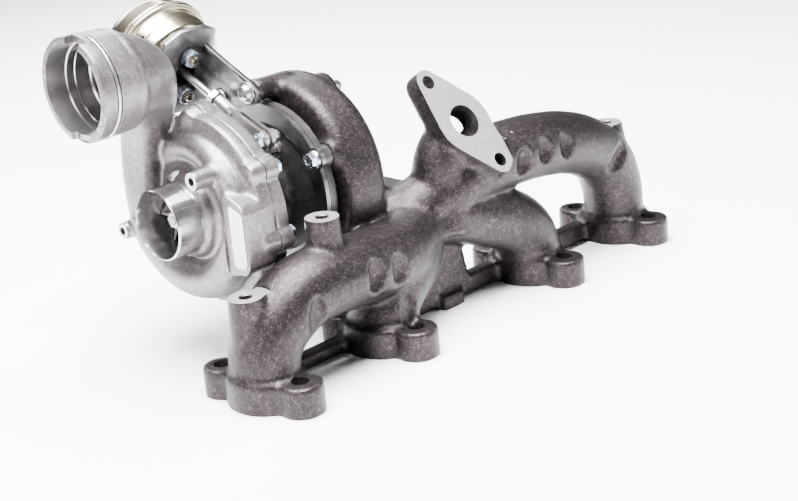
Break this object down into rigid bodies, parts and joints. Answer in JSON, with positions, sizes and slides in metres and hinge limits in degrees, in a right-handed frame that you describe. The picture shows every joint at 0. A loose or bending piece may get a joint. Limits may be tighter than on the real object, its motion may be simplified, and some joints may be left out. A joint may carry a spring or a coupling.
{
  "type": "turbocharger",
  "caption": "Variable-geometry turbocharger cast in one with a four-port exhaust manifold, with a vacuum actuator, a vane linkage and a spinning rotor.",
  "frame": {"origin": "on the cylinder head face, midway between the inner two ports, at the middle of the datum pad", "axes": "+X along the row of ports from the compressor side to the far port, +Y from the ports to the turbocharger side, +Z away from the cylinder head"},
  "size_m": [0.3785, 0.2065, 0.2042],
  "materials": {
    "cast_iron": "shot-blasted sand casting, granular",
    "dark_iron": "dark oxidised casting",
    "aluminium": "sand cast, machined at the openings",
    "steel": "turned",
    "zinc_blue": "blue zinc plated",
    "zinc_yellow": "zinc plated pressing with a pale yellow tint",
    "nickel_alloy": "heat-resisting alloy",
    "bronze": "bearing bronze",
    "rubber": "moulded",
    "label": "blank sticker"
  },
  "bodies": {
    "housing": {"actuator_bracket": "dark_iron", "actuator_can": "zinc_yellow", "actuator_cover": "zinc_yellow", "actuator_nut_1": "zinc_blue", "actuator_nut_2": "zinc_blue", "bracket_bolt_1": "steel", "bracket_bolt_2": "steel", "centre_housing": "dark_iron", "clamp_bolt_1": "zinc_blue", "clamp_bolt_2": "zinc_blue", "clamp_bolt_3": "zinc_blue", "clamp_bolt_4": "zinc_blue", "clamp_ring": "steel", "compressor_backplate": "aluminium", "compressor_bolt_1": "zinc_blue", "compressor_bolt_2": "zinc_blue", "compressor_bolt_3": "zinc_blue", "compressor_bolt_4": "zinc_blue", "compressor_bolt_5": "zinc_blue", "compressor_housing": "aluminium", "crank_bush": "steel", "exhaust_manifold": "cast_iron", "heat_shield": "nickel_alloy", "nozzle_ring": "nickel_alloy", "outlet_clip": "steel", "outlet_stud_1": "steel", "outlet_stud_2": "steel", "outlet_stud_3": "steel", "return_spring": "steel", "serial_label": "label", "spacer_ring": "dark_iron", "thrust_bearing": "bronze", "vacuum_nipple": "zinc_yellow"},
    "rotor": {"turbine_wheel": "nickel_alloy", "compressor_wheel": "aluminium", "compressor_nut": "steel", "thrust_collar": "steel"},
    "bearing_1": {"journal_bearing_1": "bronze"},
    "bearing_2": {"journal_bearing_2": "bronze"},
    "lever": {"crank_shaft": "steel", "lever_arm": "steel", "lever_pin": "steel", "lever_nut": "zinc_blue"},
    "pull_rod": {"rod_end": "steel", "lock_nut": "zinc_blue", "actuator_rod": "steel", "piston_plate": "steel", "diaphragm": "rubber"},
    "nozzle_control": {"unison_ring": "nickel_alloy"},
    "vane_body_1": {"vane_1": "nickel_alloy"},
    "vane_body_2": {"vane_2": "nickel_alloy"},
    "vane_body_3": {"vane_3": "nickel_alloy"},
    "vane_body_4": {"vane_4": "nickel_alloy"},
    "vane_body_5": {"vane_5": "nickel_alloy"},
    "vane_body_6": {"vane_6": "nickel_alloy"},
    "vane_body_7": {"vane_7": "nickel_alloy"},
    "vane_body_8": {"vane_8": "nickel_alloy"},
    "vane_body_9": {"vane_9": "nickel_alloy"}
  },
  "joints": [
    {"name": "rotor_spin", "type": "hinge", "parent": "housing", "child": "rotor", "pos_m": [0, 0.06, 0.09], "axis": [1, 0, 0], "continuous": true},
    {"name": "bearing_1_spin", "type": "hinge", "parent": "housing", "child": "bearing_1", "pos_m": [0, 0.06, 0.09], "axis": [1, 0, 0], "continuous": true},
    {"name": "bearing_2_spin", "type": "hinge", "parent": "housing", "child": "bearing_2", "pos_m": [0, 0.06, 0.09], "axis": [1, 0, 0], "continuous": true},
    {"name": "lever_turn", "type": "hinge", "parent": "housing", "child": "lever", "pos_m": [0, 0.04915, 0.1148], "axis": [-1, 0, 0], "range_deg": [0, 32], "stiffness_Nm_per_rad": 0.6, "springref_deg": -28.65, "deforming": ["return_spring"]},
    {"name": "rod_pivot", "type": "hinge", "parent": "lever", "child": "pull_rod", "pos_m": [-0.098, 0.04, 0.1254], "axis": [1, 0, 0], "range_deg": [-1, 33]},
    {"name": "unison_ring_turn", "type": "hinge", "parent": "housing", "child": "nozzle_control", "pos_m": [0, 0.06, 0.09], "axis": [-1, 0, 0], "range_deg": [-1, 10.2]},
    {"name": "vane_1_turn", "type": "hinge", "parent": "housing", "child": "vane_body_1", "pos_m": [0, 0.03964, 0.11135], "axis": [-1, 0, 0], "range_deg": [-2, 43.14]},
    {"name": "vane_2_turn", "type": "hinge", "parent": "housing", "child": "vane_body_2", "pos_m": [0, 0.03068, 0.09327], "axis": [-1, 0, 0], "range_deg": [-2, 43.14]},
    {"name": "vane_3_turn", "type": "hinge", "parent": "housing", "child": "vane_body_3", "pos_m": [0, 0.03544, 0.07366], "axis": [-1, 0, 0], "range_deg": [-2, 43.14]},
    {"name": "vane_4_turn", "type": "hinge", "parent": "housing", "child": "vane_body_4", "pos_m": [0, 0.05169, 0.0617], "axis": [-1, 0, 0], "range_deg": [-2, 43.14]},
    {"name": "vane_5_turn", "type": "hinge", "parent": "housing", "child": "vane_body_5", "pos_m": [0, 0.07182, 0.06297], "axis": [-1, 0, 0], "range_deg": [-2, 43.14]},
    {"name": "vane_6_turn", "type": "hinge", "parent": "housing", "child": "vane_body_6", "pos_m": [0, 0.08643, 0.0769], "axis": [-1, 0, 0], "range_deg": [-2, 43.14]},
    {"name": "vane_7_turn", "type": "hinge", "parent": "housing", "child": "vane_body_7", "pos_m": [0, 0.08867, 0.09695], "axis": [-1, 0, 0], "range_deg": [-2, 43.14]},
    {"name": "vane_8_turn", "type": "hinge", "parent": "housing", "child": "vane_body_8", "pos_m": [0, 0.07749, 0.11375], "axis": [-1, 0, 0], "range_deg": [-2, 43.14]},
    {"name": "vane_9_turn", "type": "hinge", "parent": "housing", "child": "vane_body_9", "pos_m": [0, 0.05813, 0.11944], "axis": [-1, 0, 0], "range_deg": [-2, 43.14]}
  ],
  "couplings": [
    {"joint": "bearing_1_spin", "follows": "rotor_spin", "ratio": 0.3},
    {"joint": "bearing_2_spin", "follows": "rotor_spin", "ratio": 0.3},
    {"joint": "rod_pivot", "follows": "lever_turn", "ratio": 1},
    {"joint": "unison_ring_turn", "follows": "lever_turn", "ratio": 0.28757},
    {"joint": "vane_1_turn", "follows": "lever_turn", "ratio": 1.2856},
    {"joint": "vane_2_turn", "follows": "lever_turn", "ratio": 1.2856},
    {"joint": "vane_3_turn", "follows": "lever_turn", "ratio": 1.2856},
    {"joint": "vane_4_turn", "follows": "lever_turn", "ratio": 1.2856},
    {"joint": "vane_5_turn", "follows": "lever_turn", "ratio": 1.2856},
    {"joint": "vane_6_turn", "follows": "lever_turn", "ratio": 1.2856},
    {"joint": "vane_7_turn", "follows": "lever_turn", "ratio": 1.2856},
    {"joint": "vane_8_turn", "follows": "lever_turn", "ratio": 1.2856},
    {"joint": "vane_9_turn", "follows": "lever_turn", "ratio": 1.2856}
  ]
}
